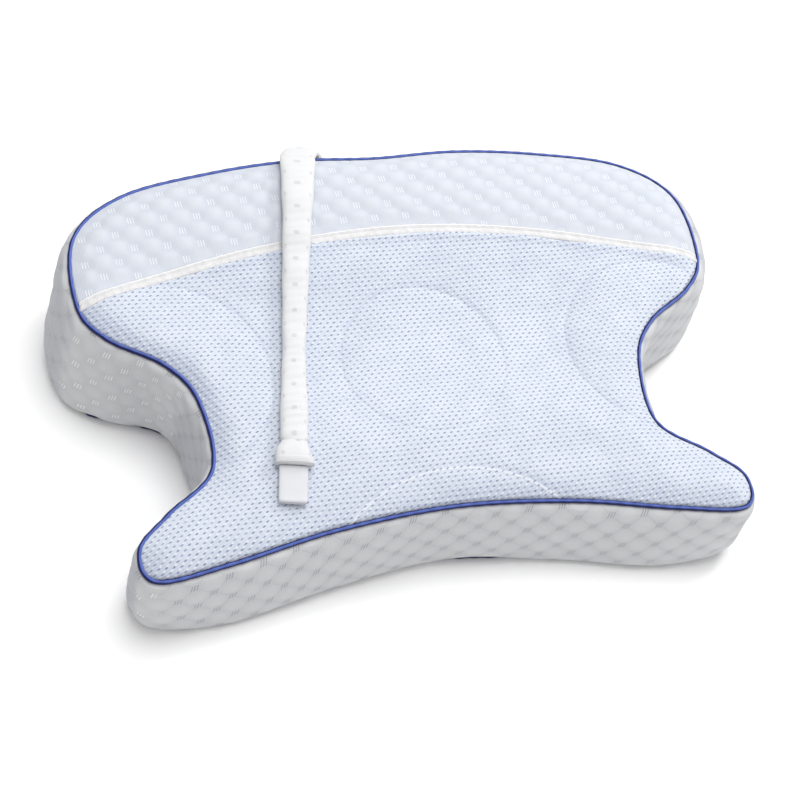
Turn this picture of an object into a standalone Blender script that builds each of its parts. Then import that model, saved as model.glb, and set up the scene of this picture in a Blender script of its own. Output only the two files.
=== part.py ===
# Memory foam pillow with a waved top, side cut-outs, a quilted band, a spacer mesh top,
# blue piping and a padded tether strap. Metres, +Z up, front edge towards -Y.
import math

import bmesh
import bpy
from mathutils import Vector

# Right half of the top piping line, from the middle of the back edge round the side to the
# middle of the front edge: x, y, and how far the base edge stands outside it there.
OUTLINE = (
    (0.000, 0.161, 0.006),
    (0.066, 0.163, 0.006),
    (0.134, 0.156, 0.008),
    (0.203, 0.140, 0.013),
    (0.243, 0.106, 0.016),
    (0.247, 0.049, 0.0145),
    (0.229, 0.020, 0.004),
    (0.191, -0.005, -0.004),
    (0.171, -0.036, 0.004),
    (0.169, -0.090, 0.006),
    (0.204, -0.120, 0.005),
    (0.227, -0.143, 0.004),
    (0.219, -0.167, -0.002),
    (0.166, -0.161, 0.008),
    (0.089, -0.146, 0.0065),
    (0.000, -0.139, 0.0015),
)
STEPS = 3                      # ring points for each knot of the outline
SHOULDER_KNOT = 4              # corner between the back edge and the side
LOBE_KNOT = 11                 # corner between the side and the front edge
SEAM_REACH = (0.2, 2.0)        # the seam meets the edge this many knots past the shoulder
END_CLEAR = 0.06               # share of a knot kept between a seam's end and a ring point

PIPING_HEIGHT = 0.0945         # height of the top piping at y = 0
PIPING_SLOPE = 0.1457          # rise of the top piping towards the back
PIPING_RADIUS = 0.00165
BASE_PIPING_HEIGHT = 0.0021
WALL_LEVELS = (0.0, 0.14, 0.36, 0.60, 0.79, 0.91, 1.0)
WALL_BULGE = 0.0105            # most that the side wall swells where it is BULGE_HEIGHT high
BULGE_HEIGHT = 0.110
BULGE_GROWTH = 1.2             # how much more a higher wall swells
WALL_SHOULDER = 6              # a higher power keeps the wall full nearer to the piping
WALL_FOOT = 0.35               # a lower power fills the wall nearer to the base
BULGE_UNEVEN = 0.0015          # the right side is filled this much fuller, the left less
MIDDLE = (0.0007, 0.0065)      # middle of the pillow and strap together, in the outline's own plan

ROLL_HEIGHT = 0.0055           # the top rises this much just inside the piping
ROLL_WIDTH = 0.030
ROLL_POWER = 2.4               # a higher power makes the roll at the piping rounder
WAVE_FADE = 0.085              # the wave reaches its full depth this far from the piping
# Height of the top's wave along its middle: y, height (front, neck ridge, head hollow, back).
WAVE = (
    (-0.139, 0.0000),
    (-0.112, 0.0015),
    (-0.086, 0.0020),
    (-0.060, -0.0020),
    (-0.030, -0.0075),
    (0.005, -0.0100),
    (0.035, -0.0085),
    (0.065, -0.0050),
    (0.095, -0.0020),
    (0.130, 0.0010),
    (0.163, 0.0000),
)

GAP = 0.0003
CLOTH = 0.0016                 # thickness of the top panels
SKIN_TOP = 0.0004              # outer face of the top panels, above the top's own surface
BODY_TOP = SKIN_TOP - CLOTH - 0.0004
PANEL_EDGE = -(PIPING_RADIUS + 0.00045)
GUSSET_OUT = 0.0004
GUSSET_IN = -0.0012
WALL_CLEAR = 0.0007            # the filling stays this far inside the side band's chords
WALL_OUT = GUSSET_IN - WALL_CLEAR
WALL_HEAD = 0.0026             # and its wall ends this far under the piping's middle
CORD_CLEAR = PIPING_RADIUS + GAP + 0.0001
BASE_CLOTH = 0.0020

# The seam bows towards the back and was sewn slightly askew.
SEAM_MIDDLE_Y = 0.087
SEAM_END = (0.2465, 0.047)
SEAM_POWER = 1.9
SEAM_LEAN = -0.020
SEAM_HALF = 0.0042
SEAM_RAISE = 0.0006

PUFF_X = 0.025
PUFF_Y = 0.023
PUFF_HEIGHT = 0.0022
PUFF_FADE = 0.012

# Foam pads that press through the mesh as round creases: centre x, centre y, radius.
CREASES = (
    (0.000, -0.020, 0.061),
    (-0.181, -0.026, 0.069),
    (0.181, -0.026, 0.069),
    (0.002, -0.235, 0.120),
)
CREASE_DEPTH = 0.0011
CREASE_WIDTH = 0.0055

STRAP_BACK = (-0.0626, 0.1635)  # where the strap's middle crosses the back piping
STRAP_TURN = math.radians(10.6)
STRAP_WIDTH = 0.0205
STRAP_THICK = 0.0105
STRAP_REACH = 0.2525           # from the back piping to the strap's front end
STRAP_SPACING = 0.011
CUFF_WIDTH = 0.0262
CUFF_THICK = 0.0126
CUFF_LENGTH = 0.0165
TAB_WIDTH = 0.0205
TAB_THICK = 0.0030
TAB_LENGTH = 0.027
TAB_SEAT = 0.0005              # the cuff's end leans back by this much above the tab
# Levels of the back wall that the strap climbs from its sewn end, then its arch over the
# piping as distance inwards from the piping and height.
STRAP_CLIMB = (0.50, 0.62, 0.73, 0.84, 0.93)
STRAP_ARCH = ((-0.0092, 0.1180), (-0.0060, 0.1237), (0.0005, 0.1265))
STRAP_LANDING = 0.012          # where it lies on the quilted band
STRAP_DRIFT = 0.013            # how far sideways its sewn end stands
DRIFT_START = 0.020            # the drift begins this far inwards of the piping
DRIFT_RUN = 0.040
STRAP_REST = 0.006             # stretch of cloth that carries a point of the strap
STRAP_SAG = 0.12               # how much its edges hang below its middle
STRAP_SQUARE = 0.75            # 1 is an ellipse, and less is squarer
STRAP_SIDES = 12
CUFF_SHARES = (0.90, 1.0, 1.0, 1.0, 0.88)


def clear_scene():
    for obj in list(bpy.data.objects):
        bpy.data.objects.remove(obj, do_unlink=True)


def make_material(name, colour, roughness):
    material = bpy.data.materials.new(name)
    material.use_nodes = True
    shader = material.node_tree.nodes["Principled BSDF"]
    shader.inputs["Base Color"].default_value = (*colour, 1.0)
    shader.inputs["Roughness"].default_value = roughness
    shader.inputs["Metallic"].default_value = 0.0
    return material


def finish(bm, name, material):
    """Turns a bmesh into a smooth-shaded object of the pillow's collection."""
    bmesh.ops.recalc_face_normals(bm, faces=bm.faces)
    mesh = bpy.data.meshes.new(name)
    bm.to_mesh(mesh)
    bm.free()
    mesh.materials.append(material)
    mesh.shade_smooth()
    mesh.set_sharp_from_angle(angle=math.radians(50))
    obj = bpy.data.objects.new(name, mesh)
    collection.objects.link(obj)
    return obj


def spline(before, start, end, after, t):
    """Catmull-Rom value between start and end."""
    return 0.5 * (
        2 * start
        + (end - before) * t
        + (2 * before - 5 * start + 4 * end - after) * t**2
        + (after - before + 3 * (start - end)) * t**3
    )


def through(rows, x):
    """Smooth curve through a table of two columns, read at x."""
    x = min(max(x, rows[0][0]), rows[-1][0])
    place = 0
    while place < len(rows) - 2 and x > rows[place + 1][0]:
        place += 1
    left, right = rows[place], rows[place + 1]
    before = rows[max(place - 1, 0)]
    after = rows[min(place + 2, len(rows) - 1)]
    t = (x - left[0]) / (right[0] - left[0])
    return spline(before[1], left[1], right[1], after[1], t)


def smooth_step(value):
    value = min(max(value, 0.0), 1.0)
    return value * value * (3 - 2 * value)


def make_rings():
    """Plan points of the top outline, their outward directions and the base offsets there."""
    left = [(-x, y, out) for x, y, out in reversed(OUTLINE[1:-1])]
    knots = [Vector(row) for row in (*OUTLINE, *left)]
    rows = []
    for index in range(len(knots)):
        near = [knots[(index + step) % len(knots)] for step in (-1, 0, 1, 2)]
        rows += [spline(*near, step / STEPS) for step in range(STEPS)]
    points = [Vector((row.x, row.y)) for row in rows]
    outward = []
    for index in range(len(points)):
        along = points[(index + 1) % len(points)] - points[index - 1]
        outward.append(Vector((-along.y, along.x)).normalized())
    return points, outward, [row.z for row in rows]


def edge_distance(place):
    """Distance from a plan point to the top outline."""
    nearest = 1.0
    for index, start in enumerate(ring):
        side = ring[(index + 1) % len(ring)] - start
        t = min(max((place - start).dot(side) / side.length_squared, 0.0), 1.0)
        nearest = min(nearest, (start + side * t - place).length)
    return nearest


def top_height(place):
    """Height of the filled top under the panels, without cloth."""
    distance = edge_distance(place)
    roll = 1 - (1 - min(distance / ROLL_WIDTH, 1.0)) ** ROLL_POWER
    wave = through(WAVE, place.y) * smooth_step(distance / WAVE_FADE)
    return PIPING_HEIGHT + PIPING_SLOPE * place.y + ROLL_HEIGHT * roll + wave


def puffs(place):
    """Quilted puffs between the sewn tacks, which sit on a centred lattice."""
    across = math.cos(2 * math.pi * place.x / PUFF_X)
    along = math.cos(2 * math.pi * (place.y - SEAM_MIDDLE_Y) / PUFF_Y)
    fade = smooth_step((edge_distance(place) + PANEL_EDGE) / PUFF_FADE)
    fade *= smooth_step((place.y - seam_y(place.x) - SEAM_HALF) / PUFF_FADE)
    return PUFF_HEIGHT * fade * (1 - across * along) / 2


def creases(place):
    """Shallow round troughs over the edges of the foam pads."""
    depth = 0.0
    for x, y, radius in CREASES:
        away = (place - Vector((x, y))).length - radius
        depth = max(depth, math.exp(-((away / CREASE_WIDTH) ** 2)))
    fade = smooth_step((edge_distance(place) + PANEL_EDGE) / PUFF_FADE)
    return -CREASE_DEPTH * depth * fade


def flat(place):
    return 0.0


def seam_y(x):
    share = min(abs(x) / SEAM_END[0], 1.0)
    bow = (SEAM_MIDDLE_Y - SEAM_END[1]) * share**SEAM_POWER
    return SEAM_MIDDLE_Y - bow + SEAM_LEAN * x


def edge_point(knot, out=0.0):
    """Plan point on the outline's chords at a fraction of a knot, moved outwards."""
    place = knot * STEPS
    index = math.floor(place + 1e-6)
    t = place - index
    start, end = index % len(ring), (index + 1) % len(ring)
    first = ring[start] + outward[start] * out
    return first.lerp(ring[end] + outward[end] * out, max(t, 0.0))


def seam_knot(side, offset):
    """Knot where the seam, moved by offset towards the back, meets the left or right edge."""
    low, high = (SHOULDER_KNOT + step for step in SEAM_REACH)
    for _ in range(40):
        middle = (low + high) / 2
        place = edge_point(middle, PANEL_EDGE)
        if place.y > seam_y(side * place.x) + offset:
            low = middle
        else:
            high = middle
    return low


def seam_line(offset, parts):
    """Points from left to right along the seam, moved by offset towards the back."""
    knots = (seam_knot(-1, offset), seam_knot(1, offset))
    left, right = (edge_point(knot, PANEL_EDGE).x for knot in knots)
    count = 2 * SHOULDER_KNOT * STEPS * parts
    line = []
    for column in range(count + 1):
        x = -left + (left + right) * column / count
        line.append(Vector((x, seam_y(x) + offset)))
    return line, knots


def patch(back, front, left, right):
    """Plan points of a four-sided patch, as rows from back to front."""
    rows = []
    for row in range(len(left)):
        v = row / (len(left) - 1)
        line = []
        for column in range(len(back)):
            u = column / (len(back) - 1)
            between = back[column] * (1 - v) + front[column] * v
            across = left[row] * (1 - u) + right[row] * u
            corners = (back[0] * (1 - u) + back[-1] * u) * (1 - v)
            corners += (front[0] * (1 - u) + front[-1] * u) * v
            line.append(between + across - corners)
        rows.append(line)
    return rows


def knot_range(start, end, inner, parts):
    """Knots from start to end past the inner ring points, each step cut into parts."""
    stops = [start, *inner, end]
    knots = []
    for first, second in zip(stops, stops[1:]):
        knots += [first + (second - first) * part / parts for part in range(parts)]
    return [*knots, end]


def ring_knots(low, high):
    """Knots of the ring points between two knots."""
    first = math.floor(low * STEPS) + 1
    last = math.ceil(high * STEPS)
    return [index / STEPS for index in range(first, last)]


def back_edge(parts):
    inner = ring_knots(-SHOULDER_KNOT, SHOULDER_KNOT)
    knots = knot_range(-SHOULDER_KNOT, SHOULDER_KNOT, inner, parts)
    return [edge_point(knot, PANEL_EDGE) for knot in knots]


def front_edge(parts):
    end = 2 * (len(OUTLINE) - 1) - LOBE_KNOT
    knots = knot_range(LOBE_KNOT, end, ring_knots(LOBE_KNOT, end), parts)
    return [edge_point(knot, PANEL_EDGE) for knot in reversed(knots)]


def sides(starts, ends, parts):
    """Left and right edge of a panel, from back to front, with equal numbers of points."""
    inner = ring_knots(max(starts) + END_CLEAR, min(ends) - END_CLEAR)
    left, right = (
        [edge_point(knot, PANEL_EDGE) for knot in knot_range(start, end, inner, parts)]
        for start, end in zip(starts, ends)
    )
    return [Vector((-place.x, place.y)) for place in left], right


def lines_of(piece, parts):
    """Back line, front line and the left and right end knots of a top panel."""
    if piece == "quilt":
        line, knots = seam_line(SEAM_HALF + GAP, parts)
        return back_edge(parts), line, (SHOULDER_KNOT,) * 2, knots
    if piece == "strip":
        back, first = seam_line(SEAM_HALF, parts)
        front, last = seam_line(-SEAM_HALF, parts)
        return back, front, first, last
    line, knots = seam_line(-SEAM_HALF - GAP, parts)
    return line, front_edge(parts), knots, (LOBE_KNOT,) * 2


def panel_rows(piece, column_parts, row_parts):
    back, front, first, last = lines_of(piece, column_parts)
    left, right = sides(first, last, row_parts)
    return patch(back, front, left, right)


def border(grid):
    """Vertices round a grid of rows, in order."""
    last = len(grid) - 1
    return (
        grid[0][:-1]
        + [row[-1] for row in grid[:last]]
        + grid[last][:0:-1]
        + [row[0] for row in grid[last:0:-1]]
    )


def add_grid(bm, rows, height):
    """Adds the vertices and faces of a patch at the height that a function gives."""
    grid = [[bm.verts.new((p.x, p.y, height(p))) for p in row] for row in rows]
    for upper, lower in zip(grid, grid[1:]):
        for column in range(len(upper) - 1):
            bm.faces.new(
                (upper[column], lower[column], lower[column + 1], upper[column + 1])
            )
    return grid


def make_panel(name, piece, column_parts, row_parts, raise_by, relief, material):
    """Cloth panel on the crowned top: fine outer face, plain inner face, cut edge."""
    bm = bmesh.new()
    outer = panel_rows(piece, column_parts, row_parts)
    inner = panel_rows(piece, 1, 1)
    top = add_grid(bm, outer, lambda p: top_height(p) + SKIN_TOP + raise_by + relief(p))
    low = add_grid(bm, inner, lambda p: top_height(p) + SKIN_TOP - CLOTH)
    rim_top, rim_low = border(top), border(low)
    parts = [column_parts] * (len(inner[0]) - 1) + [row_parts] * (len(inner) - 1)
    place = 0
    for index, part in enumerate(parts * 2):
        fine = [rim_top[(place + step) % len(rim_top)] for step in range(part + 1)]
        coarse = [rim_low[(index + 1) % len(rim_low)], rim_low[index]]
        bm.faces.new(fine + coarse)
        place += part
    return finish(bm, name, material)


def swell(index, level):
    """How far the wall stands outside the top piping: level 0 at the base, 1 at the piping."""
    place = ring[index]
    top = PIPING_HEIGHT + PIPING_SLOPE * place.y
    fullness = WALL_BULGE + BULGE_UNEVEN * min(max(place.x / SEAM_END[0], -1.0), 1.0)
    fullness *= (top / BULGE_HEIGHT) ** BULGE_GROWTH
    roll = math.sqrt(1 - level**WALL_SHOULDER) * level**WALL_FOOT
    return base_out[index] * (1 - level) + fullness * roll


def wall_ring(level, out, up=0.0):
    """Closed ring of the side wall at a level, moved outwards and up."""
    points = []
    for index, place in enumerate(ring):
        plan = place + outward[index] * (swell(index, level) + out)
        top = PIPING_HEIGHT + PIPING_SLOPE * place.y
        height = BASE_PIPING_HEIGHT + (top - BASE_PIPING_HEIGHT) * level + up
        points.append(Vector((plan.x, plan.y, height)))
    return points


def add_loft(bm, rings, closed=False):
    """Joins rings of equal count with four-sided faces."""
    rows = [[bm.verts.new(point) for point in points] for points in rings]
    pairs = list(zip(rows, rows[1:]))
    if closed:
        pairs.append((rows[-1], rows[0]))
    for lower, upper in pairs:
        for index in range(len(lower)):
            after = (index + 1) % len(lower)
            bm.faces.new((lower[index], lower[after], upper[after], upper[index]))
    return rows


def make_body(material):
    """The filled case: crowned, waved top, bulged side and flat base in one solid."""
    bm = bmesh.new()
    back, _, first, _ = lines_of("quilt", 1)
    _, front, _, last = lines_of("mesh", 1)
    seam, middle = seam_line(0.0, 1)
    rows = patch(back, seam, *sides(first, middle, 1))
    rows += patch(seam, front, *sides(middle, last, 1))[1:]
    grid = add_grid(bm, rows, lambda p: top_height(p) + BODY_TOP)
    rim = border(grid)
    shift = rim.index(grid[0][(len(grid[0]) - 1) // 2])
    rim = rim[shift:] + rim[:shift]
    foot_up = BASE_CLOTH + GAP - BASE_PIPING_HEIGHT
    foot = wall_ring(0.0, -PIPING_RADIUS - WALL_CLEAR, foot_up)
    lowest = wall_ring(0.0, WALL_OUT, PIPING_RADIUS)
    middle_rings = [wall_ring(level, WALL_OUT) for level in WALL_LEVELS[1:-1]]
    highest = wall_ring(1.0, WALL_OUT, -WALL_HEAD)
    wall = add_loft(bm, (foot, lowest, *middle_rings, highest))
    for index, vert in enumerate(wall[-1]):
        after = (index + 1) % len(rim)
        bm.faces.new((vert, wall[-1][after], rim[after], rim[index]))
    bm.faces.new(wall[0])
    return finish(bm, "pillow_body", material)


def make_gusset(material):
    """Side band sewn between the two pipings."""
    bm = bmesh.new()
    middle = [(level, 0.0) for level in WALL_LEVELS[1:-1]]
    levels = [(0.0, CORD_CLEAR), *middle, (1.0, -CORD_CLEAR)]
    rings = [wall_ring(level, GUSSET_OUT, up) for level, up in levels]
    rings += [wall_ring(level, GUSSET_IN, up) for level, up in reversed(levels)]
    add_loft(bm, rings, closed=True)
    return finish(bm, "side_gusset", material)


def make_base(material):
    """Flat cloth that the pillow rests on."""
    bm = bmesh.new()
    edge = [Vector((p.x, p.y, 0.0)) for p in wall_ring(0.0, -CORD_CLEAR)]
    rings = add_loft(bm, (edge, [p + Vector((0, 0, BASE_CLOTH)) for p in edge]))
    for points in rings:
        bm.faces.new(points)
    return finish(bm, "base_panel", material)


def make_piping(name, level, material):
    """Closed cord in a cloth sleeve that follows one edge of the side band."""
    curve = bpy.data.curves.new(name, "CURVE")
    curve.dimensions = "3D"
    curve.bevel_depth = PIPING_RADIUS
    curve.bevel_resolution = 1
    route = curve.splines.new("POLY")
    points = wall_ring(level, 0.0)
    route.points.add(len(points) - 1)
    for point, place in zip(route.points, points):
        point.co = (*place, 1.0)
    route.use_cyclic_u = True
    curve.materials.append(material)
    obj = bpy.data.objects.new(name, curve)
    collection.objects.link(obj)
    return obj


def strap_place(inward):
    """Plan point on the strap's middle line, which drifts sideways behind the piping."""
    way = Vector((-math.sin(STRAP_TURN), -math.cos(STRAP_TURN)))
    drift = STRAP_DRIFT * smooth_step((DRIFT_START - inward) / DRIFT_RUN)
    return Vector(STRAP_BACK) + way * inward + Vector((drift, 0.0))


def lying_height(inward, half_width):
    """Highest point of the panels under a stretch of the strap."""
    side = Vector((math.cos(STRAP_TURN), -math.sin(STRAP_TURN)))
    heights = []
    for along in (-STRAP_REST, 0.0, STRAP_REST):
        for across in (-half_width, -half_width / 2, 0.0, half_width / 2, half_width):
            place = strap_place(inward + along) + side * across
            above = place.y - seam_y(place.x)
            cover = SKIN_TOP
            if above > -2 * SEAM_HALF:
                cover += SEAM_RAISE
            if above > SEAM_HALF:
                cover += PUFF_HEIGHT - SEAM_RAISE
            heights.append(top_height(place) + cover - abs(across) * STRAP_SAG)
    return max(heights)


def strap_section(inward, height, tilt, width, thick):
    """Rounded section across the strap, turned about its own width by tilt."""
    centre = strap_place(inward)
    side = Vector((math.cos(STRAP_TURN), -math.sin(STRAP_TURN), 0.0))
    way = Vector((-math.sin(STRAP_TURN), -math.cos(STRAP_TURN), 0.0))
    up = Vector((0, 0, 1)) * math.cos(tilt) - way * math.sin(tilt)
    points = []
    for index in range(STRAP_SIDES):
        angle = 2 * math.pi * (index + 0.5) / STRAP_SIDES
        across, above = math.cos(angle), math.sin(angle)
        across = math.copysign(abs(across) ** STRAP_SQUARE, across) * width / 2
        above = math.copysign(abs(above) ** STRAP_SQUARE, above) * thick / 2
        points.append(Vector((centre.x, centre.y, height)) + side * across + up * above)
    return points


def make_bar(name, route, sizes, material):
    """Closed solid along a route of (inward, height) with a (width, thickness) at each."""
    bm = bmesh.new()
    rings = []
    for index, (inward, height) in enumerate(route):
        before = route[max(index - 1, 0)]
        after = route[min(index + 1, len(route) - 1)]
        tilt = math.atan2(after[1] - before[1], after[0] - before[0])
        rings.append(strap_section(inward, height, tilt, *sizes[index]))
    rows = add_loft(bm, rings)
    bm.faces.new(rows[0])
    bm.faces.new(rows[-1])
    return finish(bm, name, material)


def lying_route(start, end, count, half_width, thick):
    route = []
    for step in range(count + 1):
        inward = start + (end - start) * step / count
        height = lying_height(inward, half_width) + GAP + thick / 2
        route.append((inward, height))
    return route


def make_strap(strap_material, tab_material):
    """Padded tether strap over the back edge, its sewn cuff and the flat hook tab."""
    behind = min(range(len(ring)), key=lambda i: (ring[i] - Vector(STRAP_BACK)).length)
    route = []
    for level in STRAP_CLIMB:
        place = wall_ring(level, GUSSET_OUT)[behind]
        stand = swell(behind, level) + GUSSET_OUT + 2 * GAP + STRAP_THICK / 2
        route.append((-stand, place.z))
    route += STRAP_ARCH
    count = round((STRAP_REACH - STRAP_LANDING) / STRAP_SPACING)
    route += lying_route(
        STRAP_LANDING, STRAP_REACH, count, STRAP_WIDTH / 2, STRAP_THICK
    )
    make_bar(
        "tether_strap", route, [(STRAP_WIDTH, STRAP_THICK)] * len(route), strap_material
    )
    start = STRAP_REACH + GAP
    route = lying_route(start, start + CUFF_LENGTH, 4, CUFF_WIDTH / 2, CUFF_THICK)
    sizes = [(CUFF_WIDTH * share, CUFF_THICK * share) for share in CUFF_SHARES]
    make_bar("strap_cuff", route, sizes, strap_material)
    start += CUFF_LENGTH + GAP - TAB_SEAT
    route = lying_route(start, start + TAB_LENGTH, 6, TAB_WIDTH / 2, TAB_THICK)
    make_bar("hook_tab", route, [(TAB_WIDTH, TAB_THICK)] * len(route), tab_material)


clear_scene()
collection = bpy.data.collections.new("memory_foam_pillow")
bpy.context.scene.collection.children.link(collection)
ring, outward, base_out = make_rings()

jacquard = make_material("jacquard_cover", (0.85, 0.87, 0.90), 0.85)
mesh_cloth = make_material("spacer_mesh", (0.72, 0.80, 0.90), 0.80)
strip_cloth = make_material("seam_strip_knit", (0.90, 0.90, 0.90), 0.85)
piping_cloth = make_material("piping_blue", (0.03, 0.06, 0.50), 0.55)
strap_cloth = make_material("strap_sleeve", (0.90, 0.90, 0.91), 0.85)
tab_cloth = make_material("hook_tab_white", (0.80, 0.81, 0.84), 0.60)

make_body(jacquard)
make_gusset(jacquard)
make_base(jacquard)
make_panel("top_quilt_panel", "quilt", 4, 4, 0.0, puffs, jacquard)
make_panel("seam_strip", "strip", 1, 1, SEAM_RAISE, flat, strip_cloth)
make_panel("top_mesh_panel", "mesh", 3, 1, 0.0, creases, mesh_cloth)
make_piping("piping_top", 1.0, piping_cloth)
make_piping("piping_base", 0.0, piping_cloth)
make_strap(strap_cloth, tab_cloth)

for piece in collection.objects:
    piece.location.xy = (-MIDDLE[0], -MIDDLE[1])
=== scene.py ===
import math

import bmesh
import bpy
import numpy as np
from mathutils import Matrix, Vector, noise


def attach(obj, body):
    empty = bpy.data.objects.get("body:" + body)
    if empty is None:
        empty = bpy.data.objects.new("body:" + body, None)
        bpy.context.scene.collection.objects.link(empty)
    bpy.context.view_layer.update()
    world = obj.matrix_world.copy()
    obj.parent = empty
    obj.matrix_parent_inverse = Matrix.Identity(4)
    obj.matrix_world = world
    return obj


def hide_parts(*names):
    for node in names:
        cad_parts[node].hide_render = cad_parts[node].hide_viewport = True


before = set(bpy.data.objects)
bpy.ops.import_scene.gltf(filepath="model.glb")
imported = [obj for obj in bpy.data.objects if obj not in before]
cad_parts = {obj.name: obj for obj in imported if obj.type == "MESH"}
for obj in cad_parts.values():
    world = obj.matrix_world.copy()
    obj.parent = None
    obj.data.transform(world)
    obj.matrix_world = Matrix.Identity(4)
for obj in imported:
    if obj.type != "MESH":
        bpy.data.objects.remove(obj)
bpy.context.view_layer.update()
print("frame loaded,", len(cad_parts), "nodes")


# shape of the pillow
pillow = {
    # right half of the top piping, back middle to front middle: x, y, base edge outside it
    "outline": (
        (0.000, 0.161, 0.006), (0.066, 0.163, 0.006), (0.134, 0.156, 0.008),
        (0.203, 0.140, 0.013), (0.243, 0.106, 0.016), (0.247, 0.049, 0.0145),
        (0.229, 0.020, 0.004), (0.191, -0.005, -0.004), (0.171, -0.036, 0.004),
        (0.169, -0.090, 0.006), (0.204, -0.120, 0.005), (0.227, -0.143, 0.004),
        (0.219, -0.167, -0.002), (0.166, -0.161, 0.008), (0.089, -0.146, 0.0065),
        (0.000, -0.139, 0.0015),
    ),
    "middle": (0.0007, 0.0065),       # taken off the outline's x and y, as in the part
    "shoulderKnot": 4,                # corner of the back edge and the side
    "lobeKnot": 11,                   # corner of the side and the front edge
    "pipingHeight": 0.0945,           # top piping at y = 0, and its rise towards the back
    "pipingSlope": 0.1457,
    "baseHeight": 0.0021,
    "rollHeight": 0.0055,
    "rollWidth": 0.030,
    "rollPower": 2.4,
    "waveFade": 0.085,
    "wave": (                         # y, height of the top's wave along its middle
        (-0.139, 0.0000), (-0.112, 0.0015), (-0.086, 0.0020), (-0.060, -0.0020),
        (-0.030, -0.0075), (0.005, -0.0100), (0.035, -0.0085), (0.065, -0.0050),
        (0.095, -0.0020), (0.130, 0.0010), (0.163, 0.0000),
    ),
    "halfWidth": 0.2465,
    "bulge": 0.0105,
    "bulgeHeight": 0.110,
    "bulgeGrowth": 1.2,
    "bulgeUneven": 0.0015,
    "wallShoulder": 6,                # a higher power keeps the wall full nearer to the cord
    "wallFoot": 0.35,                 # a lower power keeps it full nearer to the base
    "skin": 0.0004,                   # outer face of the cover above the bare shape
    "cloth": 0.0016,
    "panelEdge": -0.0012,             # edge of a top panel, tucked under the piping
    "cutUnder": (5.9, 0.8, -0.0050),  # foot drawn in at the right notch: knot, run, amount
}


def smooth(value):
    value = np.clip(value, 0.0, 1.0)
    return value * value * (3 - 2 * value)


def through(rows, x):
    # smooth curve through a table of two columns
    rows = np.array(rows)
    x = np.clip(x, rows[0, 0], rows[-1, 0])
    first = np.clip(np.searchsorted(rows[:, 0], x) - 1, 0, len(rows) - 2)
    near = [np.clip(first + step, 0, len(rows) - 1) for step in (-1, 0, 1, 2)]
    a, b, c, d = (rows[index, 1] for index in near)
    t = (x - rows[first, 0]) / (rows[first + 1, 0] - rows[first, 0])
    turn = (2 * a - 5 * b + 4 * c - d) * t**2 + (d - a + 3 * (b - c)) * t**3
    return 0.5 * (2 * b + (c - a) * t + turn)


rightHalf = pillow["outline"]
knots = np.array([*rightHalf, *((-x, y, out) for x, y, out in reversed(rightHalf[1:-1]))])


def ringAt(knot):
    # plan point, outward direction and base offset of the top piping at knot numbers
    knot = np.mod(np.atleast_1d(knot).astype(float), len(knots))
    first = np.floor(knot).astype(int)
    t = (knot - first)[:, None]
    a, b, c, d = (knots[(first + step) % len(knots)] for step in (-1, 0, 1, 2))
    square, cube = 2 * a - 5 * b + 4 * c - d, d - a + 3 * (b - c)
    row = 0.5 * (2 * b + (c - a) * t + square * t**2 + cube * t**3)
    along = (c - a) + 2 * square * t + 3 * cube * t**2
    along = along[:, :2] / np.linalg.norm(along[:, :2], axis=1)[:, None]
    return row[:, :2], np.stack([-along[:, 1], along[:, 0]], 1), row[:, 2]


fineKnots = np.linspace(0, len(knots), 24 * len(knots) + 1)
fineRing = ringAt(fineKnots)[0]
fineLength = np.concatenate([[0], np.cumsum(np.linalg.norm(np.diff(fineRing, axis=0), axis=1))])
ringLength = float(fineLength[-1])


def knotsBetween(start, end, share):
    # knot numbers at even lengths from one knot to another, either way round
    count = len(knots)
    first, last = (
        np.interp(knot % count, fineKnots, fineLength) + np.floor(knot / count) * ringLength
        for knot in (start, end)
    )
    place = first + (last - first) * share
    whole = np.floor(place / ringLength)
    return np.interp(place - whole * ringLength, fineLength, fineKnots) + whole * count


def edgeDistance(plan):
    # distance of plan points to the top piping's line
    start, side = fineRing[:-1], np.diff(fineRing, axis=0)
    square = (side**2).sum(1)
    nearest = np.empty(len(plan))
    for low in range(0, len(plan), 4000):
        away = plan[low:low + 4000, None, :] - start[None]
        t = np.clip((away * side).sum(2) / square, 0, 1)
        gap = np.linalg.norm(away - t[:, :, None] * side, axis=2)
        nearest[low:low + 4000] = gap.min(1)
    return nearest


def pipingZ(y):
    return pillow["pipingHeight"] + pillow["pipingSlope"] * y


def topHeight(plan, distance):
    roll = 1 - (1 - np.minimum(distance / pillow["rollWidth"], 1)) ** pillow["rollPower"]
    wave = through(pillow["wave"], plan[:, 1]) * smooth(distance / pillow["waveFade"])
    return pipingZ(plan[:, 1]) + pillow["rollHeight"] * roll + wave


def wallPoint(knot, level, out):
    # side wall: level 0 at the base cord, 1 at the top piping
    plan, outward, base = ringAt(knot)
    middle, run, amount = pillow["cutUnder"]
    base = base + amount * np.exp(-((np.mod(knot, len(knots)) - middle) / run) ** 2)
    top = pipingZ(plan[:, 1])
    toRight = np.clip(plan[:, 0] / pillow["halfWidth"], -1, 1)
    full = pillow["bulge"] + pillow["bulgeUneven"] * toRight
    full = full * (top / pillow["bulgeHeight"]) ** pillow["bulgeGrowth"]
    roll = np.sqrt(np.maximum(1 - level ** pillow["wallShoulder"], 0))
    roll = roll * np.maximum(level, 0) ** pillow["wallFoot"]
    stand = base * (1 - level) + full * roll + out
    flatPlan = plan + outward * stand[:, None]
    height = pillow["baseHeight"] + (top - pillow["baseHeight"]) * level
    return np.column_stack([flatPlan, height]), outward


def placed(points):
    # from the outline's own plan into the part's frame
    points = np.array(points, float)
    points[:, 0] -= pillow["middle"][0]
    points[:, 1] -= pillow["middle"][1]
    return points


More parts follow.
